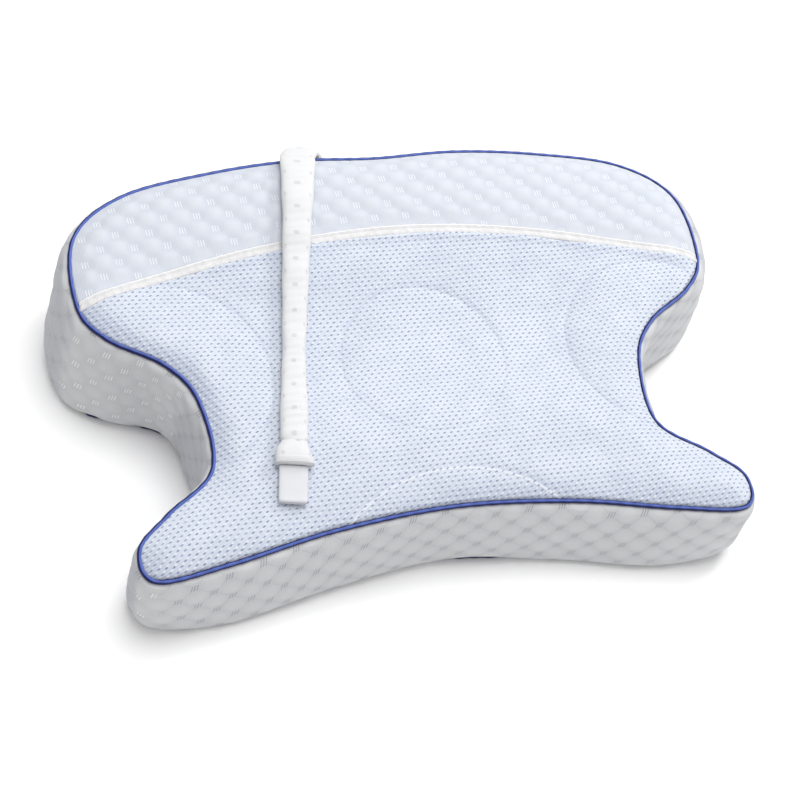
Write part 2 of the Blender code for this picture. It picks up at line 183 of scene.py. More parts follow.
def unevenness(points, scale, height, seed):
    # soft random rise and fall over a surface
    return np.array([
        height * noise.noise(Vector((x * scale, y * scale, z * scale + seed)))
        for x, y, z in points
    ])


# seam line
seam = {
    "middleY": 0.091,
    "endY": 0.0461,
    "power": 1.9,
    "lean": -0.002,
    "half": 0.0042,
    "tuck": 0.0010,                   # the panels reach this far under the strip
    "raise": 0.0007,                  # the mesh comes up to the strip over this run
    "raiseRun": 0.006,
    "reach": (0.2, 2.0),              # it meets the edge this many knots past the shoulder
    "tries": 4001,
}


def seamY(x):
    share = np.minimum(np.abs(x) / pillow["halfWidth"], 1)
    bow = (seam["middleY"] - seam["endY"]) * share ** seam["power"]
    return seam["middleY"] - bow + seam["lean"] * x


def edgePoint(knot):
    plan, outward, _ = ringAt(knot)
    return plan + outward * pillow["panelEdge"]


def seamKnot(side, offset):
    # knot where the seam, moved back by offset, meets the left (-1) or right (1) edge
    low, high = (pillow["shoulderKnot"] + more for more in seam["reach"])
    tries = np.linspace(low, high, seam["tries"])
    plan = edgePoint(tries)
    above = plan[:, 1] - seamY(side * plan[:, 0]) - offset
    return float(tries[np.argmin(np.abs(above))])


def seamLine(offset, share):
    left = -edgePoint(seamKnot(-1, offset))[0, 0]
    right = edgePoint(seamKnot(1, offset))[0, 0]
    x = left + (right - left) * share
    return np.column_stack([x, seamY(x) + offset])


def edgeLine(start, end, share, mirrored=False):
    plan = edgePoint(knotsBetween(start, end, share))
    if mirrored:
        plan = plan * (-1, 1)
    return plan


def panelPlan(u, v, back, front, left, right):
    # plan point inside four edges: u from left to right, v from front to back
    w = 1 - v
    zero, one = np.zeros(1), np.ones(1)
    u2, w2 = u[:, None], w[:, None] ** 2      # squared, so that it can't fold at the waist
    between = back(u) * (1 - w2) + front(u) * w2 + left(w) * (1 - u2) + right(w) * u2
    corners = (back(zero) * (1 - u2) + back(one) * u2) * (1 - w2)
    return between - corners - (front(zero) * (1 - u2) + front(one) * u2) * w2


# mesh helpers
mergeDistance = 0.00001


def clothGrid(name, columns, rows, place, size, closed=(False, False), flip=False):
    # a grid whose points go where place(u, v) says, with a UV map in metres
    bm = bmesh.new()
    layer = bm.loops.layers.uv.new("cloth")
    bmesh.ops.create_grid(bm, x_segments=columns, y_segments=rows, size=0.5, calc_uvs=True)
    shares = np.array([vert.co[:2] for vert in bm.verts]) + 0.5
    for vert, point in zip(bm.verts, placed(place(shares[:, 0], shares[:, 1]))):
        vert.co = point
    for face in bm.faces:
        for loop in face.loops:
            loop[layer].uv.x *= size[0]
            loop[layer].uv.y *= size[1]
    if any(closed):
        bmesh.ops.remove_doubles(bm, verts=bm.verts, dist=mergeDistance)
    if flip:
        bmesh.ops.reverse_faces(bm, faces=bm.faces)
    return meshObject(name, bm)


def meshObject(name, bm):
    mesh = bpy.data.meshes.new(name)
    bm.to_mesh(mesh)
    bm.free()
    mesh.shade_smooth()
    obj = bpy.data.objects.new(name, mesh)
    bpy.context.scene.collection.objects.link(obj)
    return obj


def thicken(obj, thickness):
    wall = obj.modifiers.new("clothThickness", "SOLIDIFY")
    wall.thickness = thickness
    wall.offset = -1
    wall.use_rim = True
    return obj


def fit(obj, material, node):
    # finish a piece: its material, the body it rides on and the solid it stands for
    obj.data.materials.append(material)
    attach(obj, "root")
    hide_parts(node)
    return obj


# material helpers
class Value:
    # a node socket that takes part in sums
    def __init__(self, tree, socket):
        self.tree, self.socket = tree, socket

    def calc(self, operation, *others):
        node = self.tree.nodes.new("ShaderNodeMath")
        node.operation = operation
        for index, other in enumerate((self, *others)):
            if isinstance(other, Value):
                self.tree.links.new(other.socket, node.inputs[index])
            else:
                node.inputs[index].default_value = other
        return Value(self.tree, node.outputs[0])

    def __add__(self, other):
        return self.calc("ADD", other)

    def __sub__(self, other):
        return self.calc("SUBTRACT", other)

    def __mul__(self, other):
        return self.calc("MULTIPLY", other)

    def wave(self, pitch):
        # cosine with that pitch, 1 at zero
        return (self * (2 * math.pi / pitch)).calc("COSINE")

    def local(self, pitch, shift=0.0):
        # distance from the nearest multiple of pitch
        return ((self * (1 / pitch) + (0.5 + shift)).calc("FRACT") - 0.5) * pitch

    def step(self, low, high):
        # smooth rise from 0 at low to 1 at high
        node = self.tree.nodes.new("ShaderNodeMapRange")
        node.interpolation_type = "SMOOTHSTEP"
        node.inputs["From Min"].default_value = low
        node.inputs["From Max"].default_value = high
        self.tree.links.new(self.socket, node.inputs["Value"])
        return Value(self.tree, node.outputs["Result"])


class Finish:
    # a material under construction: one shader, its colour and its bump
    def __init__(self, name, roughness, sheen=0.0):
        self.material = bpy.data.materials.new(name)
        self.material.use_nodes = True
        self.tree = self.material.node_tree
        self.shader = self.tree.nodes["Principled BSDF"]
        self.shader.inputs["Roughness"].default_value = roughness
        self.shader.inputs["Sheen Weight"].default_value = sheen
        self.shader.inputs["Sheen Roughness"].default_value = 0.45
        self.shader.inputs["Specular IOR Level"].default_value = 0.3

    def coordinates(self, kind, turn=0.0, uvMap=None):
        if uvMap:
            source = self.tree.nodes.new("ShaderNodeUVMap")
            source.uv_map = uvMap
            socket = source.outputs["UV"]
        else:
            source = self.tree.nodes.new("ShaderNodeTexCoord")
            socket = source.outputs[kind]
        mapping = self.tree.nodes.new("ShaderNodeMapping")
        mapping.inputs["Rotation"].default_value[2] = turn
        self.tree.links.new(socket, mapping.inputs["Vector"])
        split = self.tree.nodes.new("ShaderNodeSeparateXYZ")
        self.tree.links.new(mapping.outputs["Vector"], split.inputs["Vector"])
        self.vector = mapping.outputs["Vector"]
        return [Value(self.tree, split.outputs[axis]) for axis in "XYZ"]

    def cloud(self, scale, detail=2.0):
        node = self.tree.nodes.new("ShaderNodeTexNoise")
        node.inputs["Scale"].default_value = scale
        node.inputs["Detail"].default_value = detail
        self.tree.links.new(self.vector, node.inputs["Vector"])
        return Value(self.tree, node.outputs["Fac"])

    def mix(self, share, first, second):
        node = self.tree.nodes.new("ShaderNodeMix")
        node.data_type = "RGBA"
        self.tree.links.new(share.socket, node.inputs[0])
        for socket, colour in zip(node.inputs[6:8], (first, second)):
            if isinstance(colour, tuple):
                socket.default_value = (*colour, 1.0)
            else:
                self.tree.links.new(colour, socket)
        return node.outputs[2]

    def colour(self, socket):
        self.tree.links.new(socket, self.shader.inputs["Base Color"])

    def bump(self, height, distance, strength):
        node = self.tree.nodes.new("ShaderNodeBump")
        node.inputs["Strength"].default_value = strength
        node.inputs["Distance"].default_value = distance
        self.tree.links.new(height.socket, node.inputs["Height"])
        self.tree.links.new(node.outputs["Normal"], self.shader.inputs["Normal"])

    def facing(self, direction):
        # how far the surface itself faces a fixed direction
        node = self.tree.nodes.new("ShaderNodeNewGeometry")
        dot = self.tree.nodes.new("ShaderNodeVectorMath")
        dot.operation = "DOT_PRODUCT"
        dot.inputs[1].default_value = direction
        self.tree.links.new(node.outputs["Normal"], dot.inputs[0])
        return Value(self.tree, dot.outputs["Value"])


# jacquard
jacquard = {
    "pitchX": 0.025,                  # sewn tacks on a centred lattice
    "pitchY": 0.023,
    "strokePitch": 0.0020,
    "markWide": 0.0027,               # half width and half height of a woven mark
    "markHigh": 0.0029,
    "topSlant": -0.09,
    "sideSlant": 0.34,
    "sideTurn": math.radians(7),      # the side band was cut this much off the straight
    "wale": 0.0011,
    "ground": (0.525, 0.555, 0.62),
    # puff tops painted lighter than the ground at the tacks: painted light on the puffs
    "litPuffTop": (0.585, 0.61, 0.665),
    "mark": (0.71, 0.73, 0.77),
    "line": (0.45, 0.48, 0.57),
    "sideGround": (0.55, 0.555, 0.572),
    # side puff tops painted lighter: painted light on the puffs
    "litSidePuff": (0.605, 0.608, 0.622),
    # painted shade in the side band's quilting grooves
    "sideGrooveShade": (0.43, 0.44, 0.47),
    # painted shade on the sides of the band that face away from the light
    "sideAwayShade": (0.43, 0.437, 0.475),
    "shadeAwayFrom": ((-0.97, 0.24, 0.0), (0.86, 0.20, 0.47)),   # far left and far right, which get painted shade
    "sideShine": (0.84, 0.84, 0.85),
    "sideMark": (0.36, 0.375, 0.41),  # the same yarn seen away from the light
    "litFrom": (-0.64, -0.77, 0.0),   # outward direction of the wall where the marks shine
}


def jacquardBand(name, side=False):
    # quilted cover cloth: woven slanted marks at the tacks, fine knitted wales
    values = jacquard
    cloth = Finish(name, 0.82, sheen=0.15)
    if side:
        left = cloth.coordinates("Object")[0].step(0.02, -0.06)
        x, y, _ = cloth.coordinates("UV", turn=-values["sideTurn"], uvMap="cloth")
        slant = values["sideSlant"]
    else:
        x, y, _ = cloth.coordinates("Object")
        x = x + pillow["middle"][0]
        y = y + (pillow["middle"][1] - seam["middleY"])
        slant = values["topSlant"]
    marks = []
    for shift in (0.0, 0.5):
        across = x.local(values["pitchX"], shift)
        along = y.local(values["pitchY"], shift)
        slanted = across - along * slant
        strokes = slanted.wave(values["strokePitch"]).step(-0.20, 0.55)
        wide = slanted.calc("ABSOLUTE").step(values["markWide"], values["markWide"] - 0.0004)
        high = along.calc("ABSOLUTE").step(values["markHigh"], values["markHigh"] - 0.0006)
        marks.append(strokes * wide * high)
    mark = marks[0].calc("MAXIMUM", marks[1])
    across = x * (1 / values["pitchX"])
    along = y * (1 / values["pitchY"])
    first = (across + along).local(1.0).calc("ABSOLUTE")
    second = (across - along).local(1.0).calc("ABSOLUTE")
    tack = x.wave(values["pitchX"]) * y.wave(values["pitchY"])
    line = first.calc("MINIMUM", second).step(0.045, 0.0) * tack.step(0.80, 0.40)
    puff = tack.step(0.6, -0.8)
    wales = x.wave(values["wale"])
    mottle = cloth.cloud(90.0, 3.0)
    shades = ("sideGround", "litSidePuff", "sideGrooveShade") if side else ("ground", "litPuffTop", "line")
    low, top, shadedGroove = (values[shade] for shade in shades)
    # painted light and shade: puff middles lighter, tack dents darker, mixed with a random
    # mottle
    ground = cloth.mix(puff * 0.75 + mottle * 0.25, low, top)
    if side:
        lit = cloth.facing(values["litFrom"]).step(0.84, 0.95) * left
        line = line * (lit * -0.6 + 0.6)
        shine = cloth.mix(lit, values["sideMark"], values["sideShine"])
        # painted shade: the far left and far right of the band are darkened
        farLeft, farRight = (cloth.facing(way) for way in values["shadeAwayFrom"])
        away = farLeft.calc("MAXIMUM", farRight).step(0.64, 0.94)
        ground = cloth.mix(away * 0.9, ground, values["sideAwayShade"])
        # painted shade in the quilting grooves, weaker where the marks are lit
        ground = cloth.mix(line * 0.5, ground, shadedGroove)
        cloth.colour(cloth.mix(mark * 0.9, ground, shine))
    else:
        line = line * 0.3
        cloth.colour(cloth.mix(mark * 0.9, ground, values["mark"]))
    height = wales * 0.12 + mottle * 0.35 + mark * 0.5 - line * 0.6
    cloth.bump(height, 0.0006, 0.7)
    return cloth.material


# spacer mesh
spacer = {
    "holeX": 0.0052,                  # holes along a row, and two rows' height
    "holeY": 0.0068,
    "shear": -0.135,                  # the rows were sewn in a little askew
    "holeLong": 0.00120,              # half length and half width of a hole
    "holeWide": 0.00050,
    "slant": 0.55,
    "yarn": (0.60, 0.652, 0.748),
    "shade": (0.54, 0.595, 0.697),
    "slopeShade": (0.42, 0.465, 0.57),     # painted shade on slopes that face away from the light
    "shadeSlopeFrom": (-0.75, -0.66, 0.0),
    # random lighter grain, and the painted highlight of the gleams and the front ridge
    "grainAndHighlight": (0.76, 0.79, 0.845),
    # painted shade inside the holes
    "hole": (0.24, 0.28, 0.45),
    # painted shade in the pads' crease grooves
    "crease": (0.46, 0.52, 0.67),
    # round pads under the mesh: centre x, centre y, radius
    "pads": (
        (0.002, -0.019, 0.063), (-0.192, -0.019, 0.079),
        (0.189, -0.025, 0.073), (-0.001, -0.228, 0.115),
    ),
    "creaseHalf": 0.0018,
}


def spacerMesh(name):
    values = spacer
    cloth = Finish(name, 0.70, sheen=0.2)
    x, y, _ = cloth.coordinates("Object")
    holes = []
    gleams = []
    slant, lean = math.cos(values["slant"]), math.sin(values["slant"])
    for shift in (0.0, 0.5):
        across = (x + y * values["shear"]).local(values["holeX"], shift)
        along = y.local(values["holeY"], shift)
        long = (across * slant + along * lean) * (1 / values["holeLong"])
        wide = (along * slant - across * lean) * (1 / values["holeWide"])
        away = (long * long + wide * wide).calc("SQRT")
        holes.append(away.step(1.35, 0.55))
        # gleams: painted highlights on the yarn beside each hole
        for ahead in (0.0011, -0.0013):
            above = (across - ahead) * (1 / 0.0013)
            beside = (along - across * 0.45 - ahead * 0.6) * (1 / 0.0006)
            gleams.append((above * above + beside * beside).calc("SQRT").step(1.5, 0.3))
    creases = []
    for padX, padY, radius in values["pads"]:
        right = x + (pillow["middle"][0] - padX)
        ahead = y + (pillow["middle"][1] - padY)
        away = ((right * right + ahead * ahead).calc("SQRT") - radius).calc("ABSOLUTE")
        creases.append(away.step(values["creaseHalf"], 0.0))
    # the front pad presses a ridge into the mesh, the others a groove; the ridge gets a painted
    # highlight, the grooves painted shade
    highlitRidge = creases.pop()
    shadedGroove = creases[0].calc("MAXIMUM", creases[1]).calc("MAXIMUM", creases[2])
    shadedGroove = shadedGroove * cloth.cloud(14.0, 1.0).step(0.10, 0.50)
    hole = holes[0].calc("MAXIMUM", holes[1])
    gleam = gleams[0].calc("MAXIMUM", gleams[1])
    gleam = gleam.calc("MAXIMUM", gleams[2]).calc("MAXIMUM", gleams[3])
    mottle = cloth.cloud(60.0, 3.0)
    loops = (x + y).wave(0.0012) * (x - y).wave(0.0012)
    ground = cloth.mix(mottle.step(0.3, 0.7), values["shade"], values["yarn"])
    grain = cloth.cloud(1100.0, 1.0).step(0.25, 0.75)
    ground = cloth.mix(grain * 0.35, ground, values["grainAndHighlight"])
    # painted shade on slopes facing away from the light
    slopeShade = cloth.facing(values["shadeSlopeFrom"]).step(0.06, 0.42)
    ground = cloth.mix(slopeShade * 0.75, ground, values["slopeShade"])
    patchy = cloth.cloud(330.0, 1.0).step(0.30, 0.62)
    gleam = gleam * (patchy * 0.65 + 0.35)
    hole = hole * (cloth.cloud(260.0, 1.0).step(0.30, 0.60) * 0.40 + 0.55)
    # painted shade in the crease grooves, then painted highlights on the gleams and on the front
    # pad's ridge
    ground = cloth.mix(shadedGroove * 0.32, ground, values["crease"])
    ground = cloth.mix((gleam * 0.8).calc("MAXIMUM", highlitRidge * 0.7), ground, values["grainAndHighlight"])
    # painted shade: the holes are darkened, by a random amount
    cloth.colour(cloth.mix(hole, ground, values["hole"]))
    height = gleam * 0.5 - hole + loops * 0.12 - shadedGroove * 0.5 + highlitRidge * 0.6
    cloth.bump(height, 0.0009, 0.8)
    return cloth.material


# plain knits
knits = {
    "strip": (0.715, 0.707, 0.71),
    "stripShade": (0.65, 0.643, 0.65),
    "stripFoldHighlight": (0.80, 0.80, 0.805),
    "sleeve": (0.665, 0.667, 0.675),
    "sleeveMark": (0.45, 0.45, 0.465),
    "rib": 0.0010,
}


def seamKnit(name):
    cloth = Finish(name, 0.80, sheen=0.2)
    x, y, _ = cloth.coordinates("UV", uvMap="cloth")
    ribs = x.wave(knits["rib"])
    mottle = cloth.cloud(120.0, 3.0)
    # painted highlight along the strip's raised fold
    fold = (y - 0.0083).calc("ABSOLUTE").step(0.0013, 0.0004)
    ground = cloth.mix(mottle.step(0.35, 0.7), knits["stripShade"], knits["strip"])
    cloth.colour(cloth.mix(fold, ground, knits["stripFoldHighlight"]))
    cloth.bump(ribs * 0.2 + mottle * 0.4 + fold, 0.0005, 0.7)
    return cloth.material


def sleeveKnit(name):
    # sleeve cloth with small staggered woven dashes
    cloth = Finish(name, 0.80, sheen=0.3)
    x, y, _ = cloth.coordinates("UV", uvMap="cloth")
    dashes = []
    for shift in (0.0, 0.5):
        along = x.local(0.0215, shift).calc("ABSOLUTE").step(0.0018, 0.0012)
        across = y.local(0.0160, shift).calc("ABSOLUTE").step(0.0014, 0.0009)
        dashes.append(across * along)
    mark = dashes[0].calc("MAXIMUM", dashes[1]) * x.wave(0.0011).step(-0.5, 0.4)
    ribs = x.wave(knits["rib"])
    mottle = cloth.cloud(70.0, 3.0)
    cloth.colour(cloth.mix(mark * 0.55, knits["sleeve"], knits["sleeveMark"]))
    cloth.bump(ribs * 0.06 + mottle * 0.6 - mark * 0.5, 0.0006, 0.7)
    return cloth.material


satin = {
    "litFrom": (0.55, -0.25, 0.80),
    "shadedNavy": (0.003, 0.004, 0.080),
    "pale": (0.105, 0.170, 0.54),
    "twist": 0.0016,
}


def pipingSatin(name):
    # cord in a bias-cut satin sleeve, faintly twisted, with painted light and shade: pale where
    # it faces the light, painted navy shade on the other side
    cloth = Finish(name, 0.45)
    x, y, _ = cloth.coordinates("UV", uvMap="cloth")
    twist = (x + y * 0.8).wave(satin["twist"])
    mottle = cloth.cloud(160.0, 2.0)
    # painted light on the side facing the light, painted shade on the other
    lit = cloth.facing(satin["litFrom"]).step(0.58, 0.90)
    share = lit * (twist * 0.12 + mottle * 0.5 + 0.62)
    cloth.colour(cloth.mix(share, satin["shadedNavy"], satin["pale"]))
    cloth.bump(twist * 0.5 + mottle * 0.3, 0.0004, 0.8)
    return cloth.material


hookTape = {
    "shade": (0.585, 0.59, 0.62),
    "top": (0.615, 0.62, 0.645),
}


def tabFinish(name):
    # fine hook tape
    cloth = Finish(name, 0.55)
    cloth.coordinates("UV", uvMap="cloth")
    mottle = cloth.cloud(150.0, 2.0)
    cloth.colour(cloth.mix(mottle, hookTape["shade"], hookTape["top"]))
    cloth.bump(mottle, 0.0002, 0.4)
    return cloth.material


bandCloth = jacquardBand("quiltedJacquard")
sideCloth = jacquardBand("quiltedJacquardSide", side=True)
meshCloth = spacerMesh("airMeshBlue")
stripCloth = seamKnit("seamKnitWhite")
sleeveCloth = sleeveKnit("sleeveKnitWhite")
cordCloth = pipingSatin("pipingSatinBlue")
tabCloth = tabFinish("hookTabWhite")
print("materials made")


# quilted top panel
quilt = {
    "columns": 240,
    "rows": 58,
    "puffHeight": 0.0024,
    "puffFade": 0.012,
    "dent": 0.62,                     # share of the round dents, the rest are straight grooves
    "groovePower": 0.75,
    "unevenScale": 38.0,
    "unevenHeight": 0.0006,
    "seed": 3.0,
    "map": (0.5, 0.1),                # width and length of its UV map
    "flat": (0.500, 0.105),
    "area": 0.0400,
}


def puffShape(x, y):
    # 0 at the tacks, 1 in the middle of a puff, grooved between the tacks
    across = np.cos(2 * math.pi * x / jacquard["pitchX"])
    along = np.cos(2 * math.pi * y / jacquard["pitchY"])
    dent = (1 - across * along) / 2
    diamond = np.abs(across - along) / 2
    return quilt["dent"] * dent + (1 - quilt["dent"]) * diamond ** quilt["groovePower"]


def quiltPlace(u, v):
    offset = seam["half"] - seam["tuck"]
    corner = pillow["shoulderKnot"]
    plan = panelPlan(
        u, v,
        lambda share: edgeLine(-corner, corner, share),
        lambda share: seamLine(offset, share),
        lambda share: edgeLine(corner, seamKnot(-1, offset), share, mirrored=True),
        lambda share: edgeLine(corner, seamKnot(1, offset), share),
    )
    distance = edgeDistance(plan)
    fade = smooth((distance + pillow["panelEdge"]) / quilt["puffFade"])
    fade = fade * smooth((plan[:, 1] - seamY(plan[:, 0]) - seam["half"]) / quilt["puffFade"])
    puff = quilt["puffHeight"] * fade * puffShape(plan[:, 0], plan[:, 1] - seam["middleY"])
    height = topHeight(plan, distance) + pillow["skin"] + puff
    points = np.column_stack([plan, height])
    lumps = unevenness(points, quilt["unevenScale"], quilt["unevenHeight"], quilt["seed"])
    points[:, 2] += fade * lumps
    return points


topQuilt = clothGrid("quiltedBand", quilt["columns"], quilt["rows"], quiltPlace, quilt["map"])
thicken(topQuilt, pillow["cloth"])
fit(topQuilt, bandCloth, "top_quilt_panel")
print("quilted band made")


# mesh top panel
meshTop = {
    "columns": 200,
    "rows": 100,
    "creaseDepth": 0.0005,
    "creaseWidth": 0.0028,
    "padRise": 0.0006,
    "padRun": 0.020,
    "unevenScale": 22.0,
    "unevenHeight": 0.0011,
    "seed": 7.0,
    "map": (0.49, 0.2),
    "flat": (0.490, 0.225),
    "area": 0.0850,
}


def meshPlace(u, v):
    offset = seam["tuck"] - seam["half"]
    lobe = pillow["lobeKnot"]
    plan = panelPlan(
        u, v,
        lambda share: seamLine(offset, share),
        lambda share: edgeLine(len(knots) - lobe, lobe, share),
        lambda share: edgeLine(seamKnot(-1, offset), lobe, share, mirrored=True),
        lambda share: edgeLine(seamKnot(1, offset), lobe, share),
    )
    distance = edgeDistance(plan)
    fade = smooth((distance + pillow["panelEdge"]) / quilt["puffFade"])
    relief = np.zeros(len(plan))
    for x, y, radius in spacer["pads"]:
        away = np.hypot(plan[:, 0] - x, plan[:, 1] - y) - radius
        trough = np.exp(-((away / meshTop["creaseWidth"]) ** 2))
        relief = relief - meshTop["creaseDepth"] * trough
        relief = relief + meshTop["padRise"] * smooth(-away / meshTop["padRun"])
    behind = seamY(plan[:, 0]) - plan[:, 1] - seam["half"]
    relief = relief + seam["raise"] * smooth(1 - behind / seam["raiseRun"])
    height = topHeight(plan, distance) + pillow["skin"] + relief * fade
    points = np.column_stack([plan, height])
    lumps = unevenness(points, meshTop["unevenScale"], meshTop["unevenHeight"], meshTop["seed"])
    points[:, 2] += fade * lumps
    return points


topMesh = clothGrid("airMeshTop", meshTop["columns"], meshTop["rows"], meshPlace, meshTop["map"])
thicken(topMesh, pillow["cloth"])
fit(topMesh, meshCloth, "top_mesh_panel")
print("mesh top made")


# seam strip
strip = {
    "columns": 320,
    "rows": 16,
    "folds": ((-0.0002, 0.0), (0.10, 0.8), (0.30, 1.0), (0.48, 0.75), (0.56, 0.15),
              (0.64, 0.70), (0.80, 0.95), (0.93, 0.7), (1.0, 0.0)),
    "foldHeight": 0.0010,
    "pucker": 0.00025,
    "puckerPitch": 0.0064,
    "puckerLean": 3.0,
    "thickness": 0.0009,
    "map": (0.5, 0.0095),
    "flat": (0.500, 0.0105),
}


def stripPlace(u, v):
    offset = (2 * v - 1) * seam["half"]
    line = seamLine(0.0, u)
    plan = line + np.column_stack([np.zeros(len(v)), offset])
    distance = edgeDistance(plan)
    height = topHeight(plan, distance) + pillow["skin"]
    fold = through(strip["folds"], v)
    turn = 2 * math.pi * plan[:, 0] / strip["puckerPitch"] + strip["puckerLean"] * v
    gather = strip["pucker"] * np.cos(turn)
    return np.column_stack([plan, height + fold * (strip["foldHeight"] + gather)])


seamStrip = clothGrid("seamStrip", strip["columns"], strip["rows"], stripPlace, strip["map"])
thicken(seamStrip, strip["thickness"])
fit(seamStrip, stripCloth, "seam_strip")
print("seam strip made")


# side band
sideBand = {
    "columns": 660,
    "rows": 38,
    "rowPower": 1.6,                  # its rows lie closer together towards the cord above
    "out": 0.0001,
    "puffHeight": 0.0010,
    "puffFade": 0.16,                 # share of its height where the puffs fade at each edge
    "unevenScale": 26.0,
    "unevenHeight": 0.0013,
    "seed": 11.0,
    "rimRoom": 0.0014,                # clear of the cord above
    "edgePower": 12,                  # what happens at an edge dies out this fast
    "endFade": 0.008,                 # the band's two ends meet behind, flat at their seam
    "footHigh": 0.0090,               # the foot rolls in over the base cord
    "footIn": 0.0042,
    "footOut": 0.0014,                # above that it stands out, up to footOutHigh
    "footOutHigh": 0.05,
    "footDrop": 0.0015,
    # where the foot lifts and shows the cord: knot, half length in knots
    "peeks": ((24.2, 0.17), (23.2, 0.26), (14.7, 0.26), (26.3, 0.10)),
    "peekLift": 0.0026,
    # the right back corner is filled more, and less below: knot, run, amount
    "fuller": ((4.4, 0.8, 0.0045), (6.0, 0.7, -0.0030)),
    "flat": (1.640, 0.125),
    "area": 0.170,
}


def sideLattice(length, height):
    # cloth coordinates of the side band, turned as it was cut
    turn = jacquard["sideTurn"]
    x = length * math.cos(turn) + height * math.sin(turn)
    return x, height * math.cos(turn) - length * math.sin(turn)


def peekShare(knot):
    # 1 where the base cord shows below the side band
    share = np.zeros(len(knot))
    for middle, half in sideBand["peeks"]:
        share = share + smooth(1.5 - np.abs(knot - middle) / half)
    return share


def sidePlace(u, v):
    values = sideBand
    knot = knotsBetween(0, len(knots), u)
    level = 1 - (1 - v) ** values["rowPower"]
    points, outward = wallPoint(knot, level, values["out"])
    x, y = sideLattice(-u * ringLength, points[:, 2])
    ends = smooth(np.minimum(u, 1 - u) * ringLength / values["endFade"])
    fade = ends * smooth(v / values["puffFade"]) * smooth((1 - v) / values["puffFade"])
    puff = values["puffHeight"] * fade * puffShape(x, y)
    lumps = unevenness(points, values["unevenScale"], values["unevenHeight"], values["seed"])
    puff = puff + fade * lumps
    turn = 1 - np.minimum(points[:, 2] / values["footHigh"], 1)
    puff = puff + values["footOut"] * smooth(1.6 * (1 - points[:, 2] / values["footOutHigh"]))
    for middle, run, amount in values["fuller"]:
        more = amount * np.exp(-((knot - middle) / run) ** 2)
        puff = puff + more * smooth(2 * level) * np.sqrt(1 - level ** pillow["wallShoulder"])
    puff = puff - values["footIn"] * (1 - np.sqrt(np.maximum(1 - turn**2, 0)))
    points[:, :2] += outward * puff[:, None]
    foot = (1 - level) ** values["edgePower"]
    points[:, 2] += (values["peekLift"] * peekShare(knot) - values["footDrop"]) * foot
    points[:, 2] -= values["rimRoom"] * level ** values["edgePower"]
    return points


sideGusset = clothGrid(
    "sideBand", sideBand["columns"], sideBand["rows"], sidePlace,
    (-ringLength, 1.0), closed=(True, False), flip=True,
)
# the cloth's own height above the base cord, in metres, so that the tacks stay level
uvs = sideGusset.data.uv_layers["cloth"].data
for loop, uv in zip(sideGusset.data.loops, uvs):
    uv.uv.y = sideGusset.data.vertices[loop.vertex_index].co.z
thicken(sideGusset, pillow["cloth"])
fit(sideGusset, sideCloth, "side_gusset")
print("side band made")


# pipings
piping = {
    "radius": 0.00175,
    "along": 760,
    "around": 12,
    "wobble": 0.00012,
    "wobblePitch": 0.011,
    "baseTuck": -0.0040,
    "peekOut": 0.0042,
}


def cordPlace(level):
    def place(u, v):
        knot = knotsBetween(0, len(knots), u)
        middle, outward = wallPoint(knot, np.full(len(knot), float(level)), 0.0)
        if level == 0:
            inside = piping["baseTuck"] + piping["peekOut"] * peekShare(knot)
            middle[:, :2] += outward * inside[:, None]
        turn = 2 * math.pi * v
        wobble = np.cos(u * ringLength * 2 * math.pi / piping["wobblePitch"])
        radius = piping["radius"] + piping["wobble"] * wobble
        points = middle.copy()
        points[:, :2] += outward * (radius * np.cos(turn))[:, None]
        points[:, 2] += radius * np.sin(turn)
        return points
    return place


for name, level, node in (("topPiping", 1, "piping_top"), ("basePiping", 0, "piping_base")):
    girth = 2 * math.pi * piping["radius"]
    cord = clothGrid(
        name, piping["along"], piping["around"], cordPlace(level),
        (ringLength, girth), closed=(True, True), flip=True,
    )
    fit(cord, cordCloth, node)
print("pipings made")


# base cloth
base = {
    "points": 360,
    "inside": 0.0060,
    "thickness": 0.0020,
    "flat": (0.515, 0.350),
    "area": 0.135,
}

bm = bmesh.new()
bmesh.ops.create_circle(bm, cap_ends=True, segments=base["points"], radius=1.0)
baseKnots = knotsBetween(0, len(knots), np.arange(base["points"]) / base["points"])
rim, _ = wallPoint(baseKnots, np.zeros(base["points"]), -base["inside"])
for vert, point in zip(bm.verts, placed(rim)):
    vert.co = (point[0], point[1], base["thickness"])
bmesh.ops.recalc_face_normals(bm, faces=bm.faces)
if sum(face.normal.z for face in bm.faces) < 0:
    bmesh.ops.reverse_faces(bm, faces=bm.faces)
baseCloth = meshObject("baseCloth", bm)
baseCloth.data.shade_flat()
thicken(baseCloth, base["thickness"])
fit(baseCloth, bandCloth, "base_panel")
print("base cloth made")


# tether strap
strap = {
    "back": (-0.0634, 0.1635),        # where its middle crosses the back piping
    "turn": math.radians(10.85),
    "width": 0.0205,
    "thick": 0.0105,
    "reach": 0.2525,
    "climb": (0.50, 0.62, 0.73, 0.84, 0.93),
    "arch": ((-0.0088, 0.1165), (-0.0052, 0.1222), (0.0008, 0.1243)),
    "landing": 0.012,
    "drift": 0.009,                   # the hidden end goes off to one side
    "driftStart": 0.004,
    "driftRun": 0.022,
    "rest": 0.006,                    # stretch of cloth that carries a point of the strap
    "sag": 0.12,                      # how much its edges hang below its middle
    "gap": 0.0003,
    "spacing": 0.011,
    "cuffWidth": 0.0262,
    "cuffThick": 0.0126,
    "cuffLength": 0.0165,
    "tabWidth": 0.0205,
    "tabThick": 0.0044,
    "tabLength": 0.027,
    "tabSeat": 0.0005,
}
strapWay = np.array((-math.sin(strap["turn"]), -math.cos(strap["turn"])))
strapSide = np.array((math.cos(strap["turn"]), -math.sin(strap["turn"])))


def strapPlan(inward):
    drift = strap["drift"] * smooth((strap["driftStart"] - inward) / strap["driftRun"])
    plan = np.array(strap["back"]) + strapWay * inward[:, None]
    plan[:, 0] += drift
    return plan


